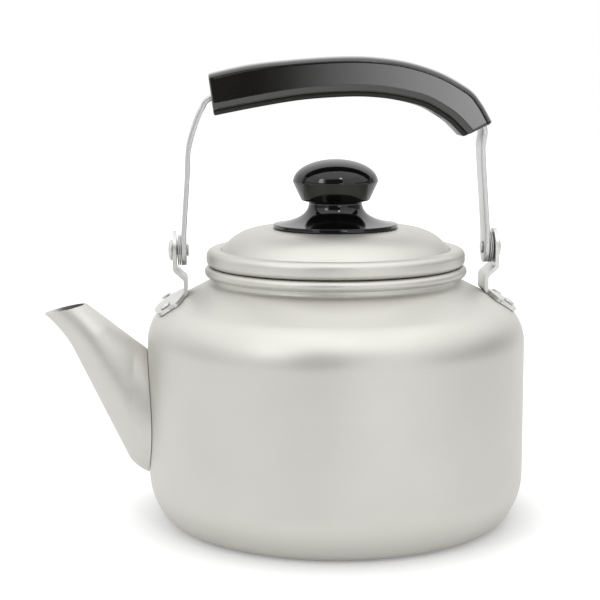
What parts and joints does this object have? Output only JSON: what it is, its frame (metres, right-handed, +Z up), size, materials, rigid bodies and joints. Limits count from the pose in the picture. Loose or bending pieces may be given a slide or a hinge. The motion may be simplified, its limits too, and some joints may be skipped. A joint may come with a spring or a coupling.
{
  "type": "tea kettle",
  "caption": "Camping tea kettle: round spun aluminium pot, short tapered spout, domed lid with a black knob, and a swinging flat-strip bail with a moulded grip.",
  "frame": {"origin": "centre of the pot's flat base, on the surface it stands on", "axes": "+Z up along the pot's axis, -X towards the spout; the bail stands in the XZ plane"},
  "size_m": [0.2541, 0.2, 0.2444],
  "materials": {
    "satin_aluminium": "satin spun sheet",
    "strip_aluminium": "satin strip and plate",
    "rivet_aluminium": "bright formed heads",
    "black_phenolic": "glossy moulding",
    "brown_phenolic": "semi-gloss moulding",
    "spring_steel": "plated",
    "insert_brass": "turned",
    "screw_steel": "plated"
  },
  "bodies": {
    "pot": {"pot_body": "satin_aluminium", "spout": "satin_aluminium", "front_ear": "strip_aluminium", "rear_ear": "strip_aluminium", "front_ear_rivet_left": "rivet_aluminium", "front_ear_rivet_right": "rivet_aluminium", "rear_ear_rivet_left": "rivet_aluminium", "rear_ear_rivet_right": "rivet_aluminium", "front_pivot_rivet": "rivet_aluminium", "rear_pivot_rivet": "rivet_aluminium", "front_spring_washer": "spring_steel", "rear_spring_washer": "spring_steel"},
    "bail": {"bail_strap": "strip_aluminium", "grip_top": "brown_phenolic", "grip_underside": "brown_phenolic", "grip_screw_front": "screw_steel", "grip_screw_rear": "screw_steel", "front_flat_washer": "spring_steel", "rear_flat_washer": "spring_steel"},
    "lid": {"lid": "satin_aluminium", "knob": "black_phenolic", "knob_insert": "insert_brass", "knob_screw": "screw_steel", "knob_washer": "screw_steel"}
  },
  "joints": [
    {"name": "bail_swing", "type": "hinge", "parent": "pot", "child": "bail", "pos_m": [0, 0, 0.1436], "axis": [1, 0, 0], "range_deg": [-94, 94]},
    {"name": "lid_lift", "type": "slide", "parent": "pot", "child": "lid", "axis": [0, 0, 1], "range_m": [0, 0.03]}
  ]
}
